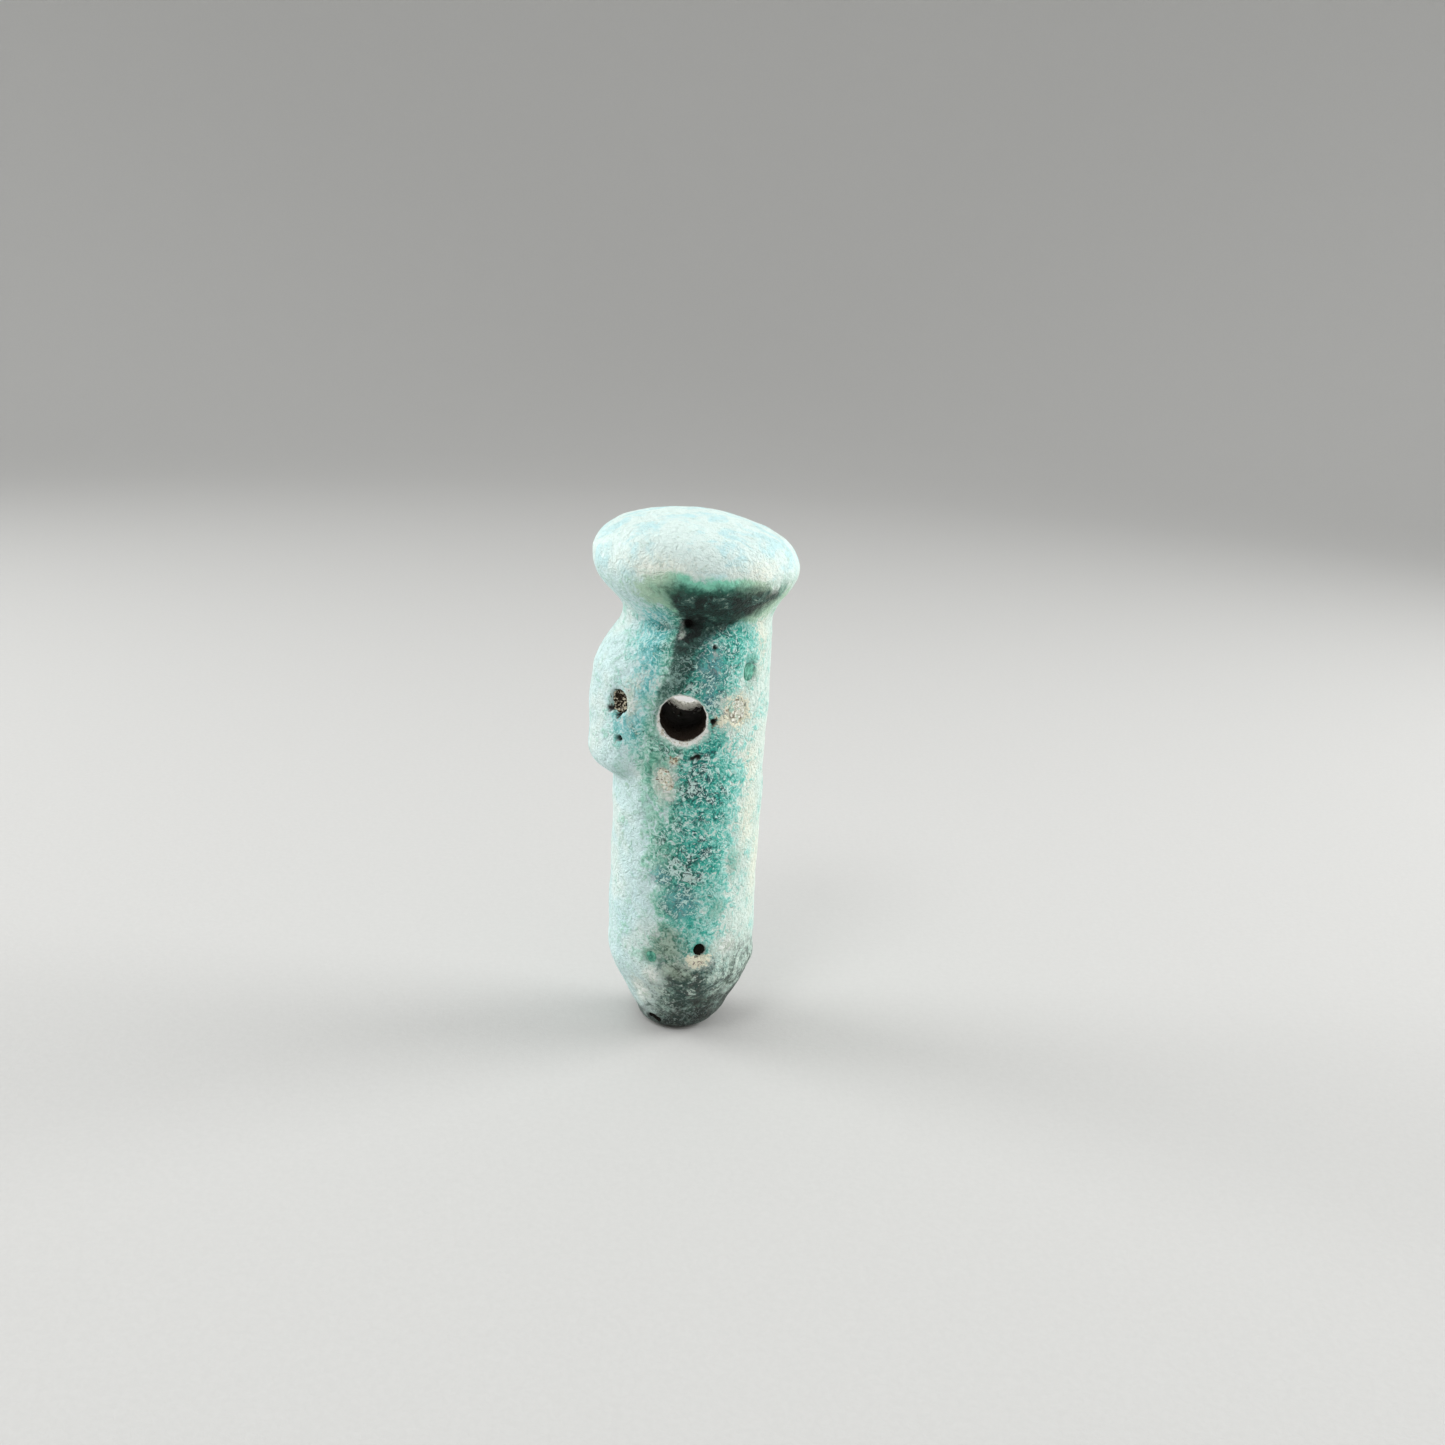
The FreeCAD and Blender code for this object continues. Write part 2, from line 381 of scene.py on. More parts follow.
glaze = {
    "voxel": 0.089,
    "sharpRounds": 3, "plainRounds": 9, "footRounds": 50,   # rounds of softening, least beside the hollows
    "hollowEdge": (0.35, 0.7), "mouthEdge": (1.05, 1.5),    # how far from both edges stay sharp
    "softFoot": ((0.3, 0.9), (4.0, 5.0)),                   # heights of what is softened most: the foot
    "softNeck": ((16.6, 17.3), (19.4, 20.2)),               # and the neck at its back and right side
    "softBack": (-2.2, -1.2), "softRight": (1.4, 2.2),
    "grit": [(0.007, 0.2, 21)],                             # height, size and seed of its waves
    "mouthTop": 0.95, "mouthBottom": 1.01,                  # radius of the worn glaze round the hole
    "mouthLower": (-0.4, 0.7), "mouthRagged": 0.06,
    "mouthWaves": [(1.0, 0.4, 7)], "mouthChips": [(0.5, 0.16, 20)],
    "mouthSides": (1.9, 2.6), "mouthThrough": 3.6,          # how far from the column's middle they lie
    "mouthThinning": 0.3, "mouthThinned": 0.06,             # how far out and down it thins to the hole
    "wornTop": 0.1, "wornBottom": 0.26, "wornRagged": 2.0,  # how far out it is worn white, more below
    "seatFilled": (1.15, 1.4), "seatFill": 0.8,             # how far out and up it covers its seat
    "seatDepth": 0.35, "seatSides": (2.2, 2.6),
    "toeLine": (-0.14, 0.18), "toeRagged": [(0.13, 0.6, 8)],    # where the glaze ends above the foot
    "toeFlat": (1.0, 1.25), "toeFlatTop": 0.3, "toeTuck": 0.12, "toeDrawn": 0.09,
    "pitWall": (0.35, 1.2), "pitSoil": (0.7, 1.15),         # as shares of a pit's radius
    "pitReach": 0.7,                                        # in millimetres, how far above and below its place it is cut
    "pits": [  # small deep holes: place, radius and depth
        ((-0.26, -2.83, 18.64), 0.24, 0.34),
        ((0.86, -3.08, 17.76), 0.11, 0.14),
        ((0.98, -3.03, 14.66), 0.15, 0.24),
        ((0.40, -3.17, 13.16), 0.15, 0.12),
        ((0.18, -3.17, 13.10), 0.10, 0.08),
        ((-2.88, -2.42, 13.56), 0.14, 0.28),
        ((-3.15, -2.10, 14.76), 0.15, 0.12),
        ((-2.90, -2.40, 14.55), 0.12, 0.10),
        ((1.94, -2.60, 15.15), 0.10, 0.10),
        ((-0.30, 3.15, 16.90), 0.14, 0.16),
        ((1.60, 2.70, 9.20), 0.12, 0.14),
        ((-2.70, 1.60, 5.90), 0.13, 0.16),
    ],
    "stain": [  # the deep run down the front: height, middle, half width and strength
        (0.0, 0.1, 1.3, 0.35), (3.6, 0.2, 1.3, 0.45), (5.4, -0.2, 0.9, 0.60), (6.6, -0.15, 0.85, 0.78),
        (7.6, -0.15, 1.1, 0.92), (8.9, 0.2, 1.3, 0.95), (10.4, 0.3, 1.45, 1.0), (12.2, 0.3, 1.6, 0.98),
        (13.3, 0.3, 1.6, 0.85), (14.7, 0.1, 2.0, 0.80), (16.2, 0.4, 1.5, 0.92), (17.4, 0.5, 1.6, 0.92),
        (18.6, 0.5, 1.5, 0.8), (19.6, 0.7, 1.9, 0.7), (20.2, 0.7, 1.9, 0.0),
    ],
    "backStain": [  # the same down the back, which the photograph doesn't show
        (0.0, 0.0, 1.2, 0.3), (4.0, 0.4, 1.0, 0.4), (7.0, 0.6, 1.1, 0.6), (11.0, 0.1, 1.3, 0.75),
        (14.7, -0.2, 1.9, 0.7), (18.0, 0.2, 1.6, 0.8), (19.4, 0.4, 2.0, 0.6), (20.2, 0.4, 2.0, 0.0),
    ],
    "crease": [  # where the lug meets the shaft: height, place and darkness of the painted shade beside it
        (12.2, -1.75, 0.25), (13.6, -1.67, 0.35), (15.1, -1.60, 0.45), (15.8, -1.30, 0.7),
        (16.5, -1.10, 0.95), (17.2, -0.98, 1.0), (18.4, -0.68, 1.0), (19.1, -0.85, 0.8), (19.8, -1.1, 0.0),
    ],
    "stainWaves": [(0.45, 1.5, 14), (0.25, 0.6, 15), (0.15, 0.25, 22)],
    "stainEdge": (0.35, 1.7), "stainSide": (0.2, 1.8),
    "wash": {  # thinner deep glaze on both sides of the run
        "middle": 0.6, "half": 1.65, "strength": 0.42, "edge": (0.5, 1.3),
        "low": (3.6, 5.6), "high": (19.0, 20.0),
    },
    "recess": {  # painted shade in the hollow: a wedge whose tip points down and whose right side slopes
        "tipX": 0.34, "tipZ": 17.82, "slope": 1.66, "top": 20.6,
        "left": [(17.3, -1.0), (18.2, -0.75), (18.9, -0.65), (19.7, -1.1), (20.4, -1.3)],   # by height
        "leftEdge": (-0.15, 0.4), "rightEdge": (-0.7, 0.9), "lowEdge": (16.95, 17.8), "topEdge": (0.0, 0.9),
        "waves": [(0.22, 0.7, 16), (0.14, 0.25, 17)],
    },
    # the painted shade beside the crease, by how far it lies to its right
    "valley": {"near": (-0.2, 0.3), "far": (0.6, 1.9), "low": (12.2, 13.8), "ragged": 1.2},
    "facing": (1.4, 2.2),       # how far forward the painted shade in the recess and the valley reaches
    "lugStain": {  # bluer glaze, by how far it lies to the left of the crease
        "near": (-0.2, 0.8), "far": (0.8, 2.3), "low": (12.4, 14.2), "high": (18.8, 19.5),
        "waves": [(0.35, 0.8, 18)],
    },
    "lip": {  # the green belt under the umbel's lip
        "tilt": 0.058, "waves": [(0.22, 0.9, 19)],
        "top": (19.85, 20.95), "low": 18.5, "lowSoft": 0.8, "leftRise": 0.75, "left": (-1.5, -0.5),
        "raised": 0.2, "raisedMiddle": 0.6, "raisedHalf": (1.0, 2.6),
        "middle": 0.4, "half": (1.5, 3.3), "facing": (0.5, 2.5), "rest": 0.1,
        "rightStrength": 0.3, "right": (1.8, 2.6), "rightFacing": (0.6, 1.8),
    },
    "hollows": [("fineHollow", 12, 0.02), ("broadHollow", 160, 0.25)],  # rounds that fill them, depth
    "patches": {  # place, then half width and half height, of what colours the glaze
        "buff": [
            ((1.98, -2.50, 15.00), 0.60, 0.64), ((1.45, -2.80, 14.78), 0.46, 0.16),
            ((0.88, -3.05, 4.10), 0.50, 0.32), ((-0.55, -3.15, 12.95), 0.20, 0.14),
            ((1.15, -3.00, 14.60), 0.14, 0.12), ((0.30, 3.20, 12.20), 0.45, 0.35),
        ],
        "chalk": [
            ((-0.86, -3.05, 11.90), 0.46, 0.85), ((-0.60, -3.10, 12.85), 0.26, 0.26),
            ((-2.45, -2.75, 15.25), 0.34, 0.80), ((-2.15, -2.75, 16.05), 0.26, 0.34),
            ((1.85, -2.60, 14.95), 0.80, 0.76), ((0.85, -3.05, 4.05), 0.66, 0.36),
            ((-0.53, -2.85, 18.32), 0.15, 0.30), ((-1.10, -2.90, 3.20), 0.34, 0.46),
            ((1.90, -2.45, 4.60), 0.55, 0.44), ((-1.60, -2.10, 2.10), 0.50, 0.66),
            ((1.55, -0.80, 0.66), 0.17, 0.18),
            ((1.80, 2.60, 15.80), 0.35, 0.50), ((-1.40, 2.90, 8.60), 0.40, 0.60),
        ],
        "emerald": [
            ((2.38, -2.12, 16.66), 0.36, 0.52),
            ((-1.17, -3.00, 4.11), 0.34, 0.34),
            ((-1.50, -2.85, 12.45), 0.24, 0.50), ((-1.28, -2.90, 12.90), 0.28, 0.28),
        ],
        "mist": [
            ((-2.75, -1.95, 12.30), 0.36, 0.50), ((3.55, -2.25, 20.15), 0.36, 0.46),
            ((1.55, -2.81, 6.36), 0.40, 0.36), ((-1.60, -2.75, 10.80), 0.34, 0.80),
            ((2.10, -2.40, 8.40), 0.40, 0.60),
        ],
        "ash": [((-0.50, -3.15, 4.70), 0.72, 0.85), ((0.10, -3.15, 3.70), 0.70, 0.50)],
        "navy": [
            ((-0.85, -3.10, 7.90), 0.42, 0.42), ((0.00, -3.18, 6.75), 0.60, 0.62),
            ((0.80, -3.08, 16.90), 0.46, 0.90), ((0.75, -3.10, 15.60), 0.30, 0.50),
        ],
        "dirt": [
            ((-2.94, -2.40, 15.05), 0.46, 0.58), ((1.94, -2.60, 15.15), 0.44, 0.46),
            ((-0.62, -3.10, 12.95), 0.26, 0.20), ((-1.05, -2.95, 12.10), 0.22, 0.50),
            ((0.98, -3.03, 4.51), 0.26, 0.26), ((0.98, -3.03, 14.66), 0.22, 0.22),
            ((0.38, -3.17, 13.14), 0.26, 0.14),
        ],
        "paintedSunlight": [  # painted warm cream light on the right flank and round the head
            ((3.06, -0.95, 7.98), 0.60, 1.70), ((2.70, -1.60, 18.00), 0.45, 1.10),
            ((2.60, -1.85, 10.20), 0.55, 1.30), ((2.60, -2.00, 12.50), 0.60, 0.90),
            ((-1.60, -4.00, 21.00), 1.30, 0.40), ((2.60, -3.40, 20.90), 1.00, 0.40),
            ((0.80, 3.90, 20.90), 1.60, 0.45),
        ],
    },
}


def patchOf(points, patches):
    # 1 in the middle of a patch, a half along its edge and nothing at twice its size
    strength = np.zeros(len(points))
    for place, wide, tall in patches:
        away = points - np.array(place)
        flat = np.hypot(away[:, 0], away[:, 1]) / wide
        strength = np.maximum(strength, 1 - np.hypot(flat, away[:, 2] / tall) / 2)
    return strength


def alongShaft(points, table):
    # the table's values at each point's height
    heights, *columns = zip(*table)
    return [np.interp(points[:, 2], heights, column) for column in columns]


def stainOf(points, table, side):
    # a soft run of deeper glaze down one side, with a wandering edge
    middle, half, strength = alongShaft(points, table)
    x, y, z = points.T
    wander = lumpy(points, glaze["stainWaves"])
    run = strength * (1 - smooth(np.abs(x - middle + wander) / half, *glaze["stainEdge"]))
    wash = glaze["wash"]
    thin = 1 - smooth(np.abs(x - wash["middle"] + wander) / wash["half"], *wash["edge"])
    thin *= wash["strength"] * within(z, wash["low"], wash["high"])
    return np.maximum(run, thin) * smooth(y * side, *glaze["stainSide"])


def shadeOf(points):
    # painted shade in the hollow under the umbel's front, and dimmer painted shade along the crease that runs
    # down from it beside the lug
    x, y, z = points.T
    recess, valley = glaze["recess"], glaze["valley"]
    right = recess["tipX"] + recess["slope"] * (z - recess["tipZ"])
    left, = alongShaft(points, recess["left"])
    ragged = lumpy(points, recess["waves"])
    shade = smooth(x - left + ragged, *recess["leftEdge"]) * smooth(right - x + ragged, *recess["rightEdge"])
    shade *= smooth(z + ragged, *recess["lowEdge"]) * smooth(recess["top"] - z + ragged, *recess["topEdge"])
    place, darkness = alongShaft(points, glaze["crease"])
    out = x - place + valley["ragged"] * ragged
    dim = darkness * within(out, valley["near"], valley["far"]) * smooth(z, *valley["low"])
    front = smooth(-y, *glaze["facing"])
    return shade * front, dim * front


def lugStainOf(points):
    # bluer glaze on the lug, deepest beside the crease
    lug = glaze["lugStain"]
    place, darkness = alongShaft(points, glaze["crease"])
    out = place - points[:, 0] + lumpy(points, lug["waves"])
    return within(out, lug["near"], lug["far"]) * within(points[:, 2], lug["low"], lug["high"])


def lipStainOf(points):
    # green under the umbel's lip, strongest in front
    x, y, z = points.T
    lip = glaze["lip"]
    level = z + lip["tilt"] * x + lumpy(points, lip["waves"])
    level -= lip["raised"] * (1 - smooth(np.abs(x - lip["raisedMiddle"]), *lip["raisedHalf"]))
    low = lip["low"] + lip["leftRise"] * (1 - smooth(x, *lip["left"]))
    belt = within(level, (low, low + lip["lowSoft"]), lip["top"])
    front = (1 - smooth(np.abs(x - lip["middle"]), *lip["half"])) * smooth(-y, *lip["facing"])
    right = lip["rightStrength"] * smooth(x, *lip["right"]) * smooth(-y, *lip["rightFacing"])
    return belt * (lip["rest"] + (1 - lip["rest"]) * np.maximum(front, right))


def sinkPits(points):
    # small deep holes, sunk into the glaze and into the paste under it
    soil = np.zeros(len(points))
    for place, radius, depth in glaze["pits"]:
        place = pressed(np.array([place]))
        inwards = -outwards(place)[0]
        away = points - place
        along = np.sum(away * inwards, axis=1)
        near = np.linalg.norm(away - along[:, None] * inwards, axis=1) / radius
        beside = np.abs(along) < glaze["pitReach"]
        sunk = depth * (1 - smooth(near, *glaze["pitWall"])) * beside
        points = points + inwards * sunk[:, None]
        soil = np.maximum(soil, (1 - smooth(near, *glaze["pitSoil"])) * beside)
    return points, soil


def coverSeats(points):
    # the glaze runs down over the paste nearly as far as the hole
    reach = fromBore(points)[0]
    depth = np.abs(points[:, 1])
    level = np.sqrt(np.maximum(form["shaftRadius"] ** 2 - points[:, 0] ** 2, 0))
    lift = np.clip(level - depth, 0, glaze["seatDepth"]) * smooth(depth, *glaze["seatSides"])
    lift *= 1 - smooth(reach, *glaze["seatFilled"])
    points = points.copy()
    points[:, 1] += np.sign(points[:, 1]) * glaze["seatFill"] * lift
    return points


def openMouths(points):
    # the glaze is worn back from both mouths of the hole, most along their lower edge
    reach, away = fromBore(points)
    lower = smooth(-away[:, 2], *glaze["mouthLower"])
    drawn = points * np.array([1, 0.05, 1])  # the same waves all the way through
    ragged = glaze["mouthRagged"] * (lumpy(drawn, glaze["mouthWaves"]) + lumpy(points, glaze["mouthChips"]))
    rim = glaze["mouthTop"] + (glaze["mouthBottom"] - glaze["mouthTop"]) * lower + ragged
    short = np.clip(rim - reach, 0, None) * (np.abs(points[:, 1]) < glaze["mouthThrough"])
    points = points + away * short[:, None]
    thin = 1 - smooth(reach, rim, rim + glaze["mouthThinning"])
    front = smooth(np.abs(points[:, 1]), *glaze["mouthSides"])
    points[:, 1] -= np.sign(points[:, 1]) * glaze["mouthThinned"] * thin * front
    wear = glaze["wornTop"] + glaze["wornBottom"] * lower + glaze["wornRagged"] * np.abs(ragged)
    return points, np.clip(1 - (reach - rim) / wear, 0, 1) * front


def tuckToe(points):
    # the glaze ends a little above the foot's bare flat
    x, y, z = points.T
    under = 1 - smooth(z - lumpy(points, glaze["toeRagged"]), *glaze["toeLine"])
    inner = (1 - smooth(np.hypot(x, y), *glaze["toeFlat"])) * (z < glaze["toeFlatTop"])
    under = np.maximum(under, inner)
    drawn = glaze["toeDrawn"]
    points = points * (1 - np.array([drawn, drawn, 0]) * under[:, None])
    points[:, 2] += glaze["toeTuck"] * under
    return points


def besideHollows(points):
    # 1 beside the hollows and the hole's mouths, where the skin keeps its edges
    near = np.zeros(len(points))
    for nodeName in ("pit_soil", "glaze_pools", "buff_crust"):
        spots = np.array([tuple(vertex.co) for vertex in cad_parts[nodeName].data.vertices]) * perMetre
        for spot in spots[::40]:  # a few of them are enough
            away = np.linalg.norm(points - spot, axis=1)
            near = np.maximum(near, 1 - smooth(away, *glaze["hollowEdge"]))
    return np.maximum(near, 1 - smooth(fromBore(points)[0], *glaze["mouthEdge"]))


def softened(shell):
    # smoother at the foot and neck, and least beside the hollows
    near = besideHollows(shell.points)[:, None]
    x, y, z = shell.points.T
    foot = within(z, *glaze["softFoot"])
    neck = within(z, *glaze["softNeck"])
    neck *= np.maximum(smooth(y, *glaze["softBack"]), smooth(x, *glaze["softRight"]))
    sharp = shell.relaxed(shell.points, glaze["sharpRounds"])
    plain = shell.relaxed(sharp, glaze["plainRounds"])
    soft = shell.relaxed(plain, glaze["footRounds"])
    return near * sharp + (1 - near) * (plain + np.maximum(foot, neck)[:, None] * (soft - plain))


def makeGlaze():
    shell = Shell(voxelled(sewn("glaze_coat", "column_core", "suspension_lug"), glaze["voxel"]))
    start = coverSeats(softened(shell))
    shell.points, soil = sinkPits(pressed(start))
    shell.points, worn = openMouths(shell.points)
    shell.points = tuckToe(shell.points)
    facing = shell.normals()
    shell.points = shell.points + facing * (lumpy(start, glaze["grit"]) * (1 - worn))[:, None]
    for name, rounds, depth in glaze["hollows"]:
        sunk = np.sum((shell.relaxed(shell.points, rounds) - shell.points) * facing, axis=1)
        shell.paint(name, sunk / depth)
    # painted shade: in the recess under the umbel and beside the lug's crease
    shade, valley = shadeOf(start)
    stain = np.maximum(stainOf(start, glaze["stain"], -1), stainOf(start, glaze["backStain"], 1))
    painted = {"soil": soil, "worn": worn, "stain": stain, "shade": shade, "valley": valley,
               "lugStain": lugStainOf(start), "lipStain": lipStainOf(start)}
    for name, patches in glaze["patches"].items():
        painted[name] = patchOf(start, patches)
    for name, values in painted.items():
        shell.paint(name, values)
    return shell


glazeLook = {  # the glaze's noises and colours, the colours as read off a screen
    "clouds": {  # size of the lumps, detail, roughness, twist and seed
        "broad": (2.4, 2, 0.5), "patchy": (1.15, 4, 0.6, 0.5, 1), "blots": (0.7, 4, 0.65, 0.8, 6),
        "mottle": (0.5, 4, 0.62, 0.6, 2), "curl": (0.4, 3, 0.6, 2.0, 4), "flecks": (0.3, 3, 0.6, 1.4, 5),
        "sparkle": (0.25, 3, 0.62, 2.2, 9), "grain": (0.13, 3, 0.7, 0.4, 3),
    },
    "streaks": (0.24, 3, 0.6, 0.8, 11), "streakStretch": 0.3,    # drawn out up and down
    "depths": [  # where each deeper tone starts and is full, then the tone on the right, the left and the lug
        (0.05, 0.32, (142, 222, 210), (160, 218, 196), (152, 222, 224)),
        (0.28, 0.55, (56, 188, 170), (98, 178, 154), (92, 184, 184)),
        (0.56, 0.84, (8, 132, 122), (50, 126, 104), None),
        (0.86, 1.12, (12, 74, 78), (30, 70, 62), None),
    ],
    "washes": {  # a colour where a noise is high: noise, what unsettles it, start, full, strength, colour
        "paleFlecks": ("flecks", {}, 0.5, 0.64, 0.5, (180, 214, 202)),
        "paleSpecks": ("grain", {"mottle": 0.6}, 0.52, 0.66, 0.45, (160, 202, 190)),
        "paleClouds": ("broad", {}, 0.5, 0.64, 0.4, (236, 244, 232)),
        "crownFlecks": ("flecks", {}, 0.5, 0.64, 0.3, (206, 232, 226)),
    },
    "mottles": {  # two colours by turns: noise, what unsettles it, start, full, first and second colour
        # foot: grey glaze, its dark partly painted shade
        "foot": ("mottle", {}, 0.4, 0.62, (26, 36, 29), (86, 103, 87)),
        "footSides": ("mottle", {}, 0.38, 0.6, (88, 112, 98), (192, 214, 202)),
        "footLeft": ("mottle", {}, 0.36, 0.48, (140, 166, 154), (228, 246, 241)),
        # toe: painted shade at the bottom of the foot
        "toe": ("flecks", {}, 0.4, 0.62, (12, 16, 13), (50, 62, 52)),
        "lipSides": ("mottle", {}, 0.42, 0.58, (66, 110, 88), (154, 200, 172)),
        # gloom: the painted shade in the recess under the umbel
        "gloom": ("mottle", {"sparkle": 0.5}, 0.44, 0.62, (8, 20, 17), (34, 76, 68)),
        "emerald": ("mottle", {}, 0.4, 0.6, (22, 98, 80), (96, 176, 148)),
        "ash": ("mottle", {"sparkle": 0.5}, 0.4, 0.6, (72, 84, 68), (166, 184, 164)),
        "chalk": ("flecks", {}, 0.4, 0.6, (196, 214, 198), (250, 254, 248)),
        "buff": ("grain", {"mottle": 0.8}, 0.37, 0.46, (112, 84, 50), (248, 242, 214)),
        "mist": ("mottle", {}, 0.4, 0.6, (84, 150, 130), (150, 208, 188)),
        "navy": ("flecks", {}, 0.42, 0.62, (14, 68, 90), (120, 192, 200)),
        "dirt": ("grain", {}, 0.42, 0.6, (34, 26, 16), (132, 108, 72)),
        "bareRim": ("grain", {}, 0.34, 0.46, (190, 182, 158), (250, 252, 247)),
    },
    "tones": {
        "thinLeft": (216, 243, 243), "thinRight": (226, 244, 234),
        # cream and crownCream are the painted warm light
        "cloudyLeft": (204, 237, 241), "cloudyRight": (194, 234, 224), "cream": (248, 246, 224),
        "crown": (232, 251, 246), "crownCloudy": (196, 240, 244), "crownCream": (246, 248, 232),
        "footBlots": (36, 46, 38), "footScuffs": (208, 224, 212),
        "crystals": (222, 252, 246), "pinholes": (16, 70, 66),
        "belt": (134, 228, 196), "beltSides": (182, 218, 188), "beltDeep": (20, 98, 80),
        # hollow: deeper glaze with painted shade in the broad hollows
        "hollow": (40, 92, 84), "fineHollow": (44, 70, 64),
        # valley and valleyCrystals: painted shade beside the lug's crease
        "valley": (30, 56, 52), "valleyCrystals": (132, 172, 164),
        "thinnedRim": (196, 228, 216), "soil": (14, 12, 9),
    },
    "patches": [  # from the lowest up: softness and tearing of the edge, and strength
        ("emerald", 0.4, 0.0, 0.8), ("ash", 0.4, 0.0, 0.72), ("chalk", 0.3, 0.0, 0.85),
        ("buff", 0.16, 1.4, 0.8), ("mist", 0.4, 0.0, 0.55),
    ],
    "roughness": 0.52, "specular": 0.35,
    "reliefHeight": 0.00013,   # metres
}


class GlazeBench(Bench):
    # a bench that holds the glaze's noises and its painted places
    def __init__(self, tree):
        super().__init__(tree)
        self.tones = tinted(glazeLook["tones"])
        at = self.placed()
        self.x, self.z = self.axis(at, "X"), self.axis(at, "Z")
        for name, numbers in glazeLook["clouds"].items():
            setattr(self, name, self.cloud(at, *numbers))
        stretch = {"Vector": at, "Scale": (1, 1, glazeLook["streakStretch"])}
        self.streaks = self.cloud(self.node("ShaderNodeMapping", {}, stretch), *glazeLook["streaks"])
        self.stain, self.lugStain = self.painted("stain"), self.painted("lugStain")
        self.crystals = self.step(self.uneven(self.sparkle, mottle=0.5, patchy=0.4), 0.54, 0.61)

    def uneven(self, value, **shares):
        # the value with a share of each named noise, which swings about a half
        for name, share in shares.items():
            value = value + (getattr(self, name) - 0.5) * share
        return value

    def ragged(self, name, soft, torn=0.0):
        # a painted patch with a torn edge
        shares = {"mottle": 1.1, "grain": 0.8}
        if torn:
            shares["flecks"] = torn
        return self.step(self.uneven(self.painted(name), **shares), 0.5 - soft, 0.5 + soft)

    def mottled(self, name):
        cloud, shares, start, full, first, second = glazeLook["mottles"][name]
        share = self.step(self.uneven(getattr(self, cloud), **shares), start, full)
        return self.mix(share, tint(*first), tint(*second))

    def washed(self, colour, *names):
        for name in names:
            cloud, shares, start, full, strength, over = glazeLook["washes"][name]
            share = self.step(self.uneven(getattr(self, cloud), **shares), start, full)
            colour = self.mix(share * strength, colour, tint(*over))
        return colour


def depthColours(bench):
    # the deeper the glaze lies, the darker it is: greener on the left, bluer on the lug, pale where thin
    stain, lugStain, tones = bench.stain, bench.lugStain, bench.tones
    fineness = (bench.mottle - 0.5) * 1.3 + (bench.flecks - 0.5) * 2.2
    deepness = stain * 0.72 + lugStain * 0.42 + (bench.patchy - 0.5) * (0.7 + stain)
    deepness = deepness + fineness * (0.4 + stain * 0.8)
    deepness = deepness - bench.step(bench.streaks, 0.48, 0.6) * lugStain * 0.35
    leftward = bench.step(bench.uneven(0 - bench.x, patchy=3.0, broad=2.0), -0.5, 1.2) * (1 - lugStain)
    rightward = bench.step(bench.uneven(bench.x, broad=3.0), -1.6, 1.6)
    colour = bench.mix(rightward, tones["thinLeft"], tones["thinRight"])
    cloudy = bench.mix(rightward, tones["cloudyLeft"], tones["cloudyRight"])
    colour = bench.mix(bench.step(bench.patchy, 0.46, 0.68) * 0.7, colour, cloudy)
    colour = bench.washed(colour, "paleFlecks", "paleSpecks", "paleClouds")
    # painted warm light on the right flank
    colour = bench.mix(bench.ragged("paintedSunlight", 0.4) * 0.6, colour, tones["cream"])
    for start, full, right, left, lug in glazeLook["depths"]:
        tone = bench.mix(leftward, tint(*right), tint(*left))
        if lug:
            tone = bench.mix(lugStain, tone, tint(*lug))
        colour = bench.mix(bench.step(deepness, start, full), colour, tone)
    return colour


def crownColours(bench, colour):
    # the umbel is nearly white above
    tones = bench.tones
    crown = bench.mix(bench.step(bench.patchy, 0.46, 0.62) * 0.75, tones["crown"], tones["crownCloudy"])
    # painted warm light round the head
    crown = bench.mix(bench.ragged("paintedSunlight", 0.5) * 0.7, crown, tones["crownCream"])
    crown = bench.washed(crown, "crownFlecks")
    return bench.mix(bench.step(bench.z, 20.2, 20.9), colour, crown)


def footColours(bench, colour, foot):
    # the foot is grey and blotched, darkest in the middle and at the toe; the middle's dark is partly painted
    # shade and the toe's is painted shade
    sides = bench.step(bench.uneven(abs(bench.x - 0.35), patchy=2.6), 0.6, 1.7)
    left = bench.step(bench.uneven(bench.x, patchy=2.0), -0.5, -1.2)
    blots = bench.uneven(bench.blots, flecks=0.5)
    greyed = bench.mix(sides, bench.mottled("foot"), bench.mottled("footSides"))
    greyed = bench.mix(left, greyed, bench.mottled("footLeft"))
    blotted = bench.step(blots, 0.50, 0.60) * (0.9 - left * 0.7)
    greyed = bench.mix(blotted, greyed, bench.tones["footBlots"])
    greyed = bench.mix(bench.step(blots, 0.45, 0.37) * 0.9, greyed, bench.tones["footScuffs"])
    colour = bench.mix(foot * 0.92, colour, greyed)
    # painted shade at the toe
    toe = bench.step(bench.uneven(bench.z - bench.x * 0.35, mottle=1.8), 2.1, 0.8)
    return bench.mix(toe * 0.88, colour, bench.mottled("toe"))


def frosted(bench, colour, foot):
    # pale crystals and thin curling threads, thickest over the deep glaze, and dark pinholes
    threads = bench.step(abs(bench.curl - 0.5), 0.045, 0.01) * bench.step(bench.mottle, 0.44, 0.56)
    frost = threads.maths("MAXIMUM", threads * 0.35, bench.crystals) * (1 - foot * 0.55)
    strength = 0.2 + bench.stain * 0.72 + bench.lugStain * 0.4
    colour = bench.mix(frost * strength, colour, bench.tones["crystals"])
    pinholes = bench.step(bench.uneven(bench.sparkle, grain=0.5), 0.42, 0.35)
    pinholes = pinholes * (0.1 + bench.stain * 0.45 + foot * 0.3)
    return bench.mix(pinholes, colour, bench.tones["pinholes"])


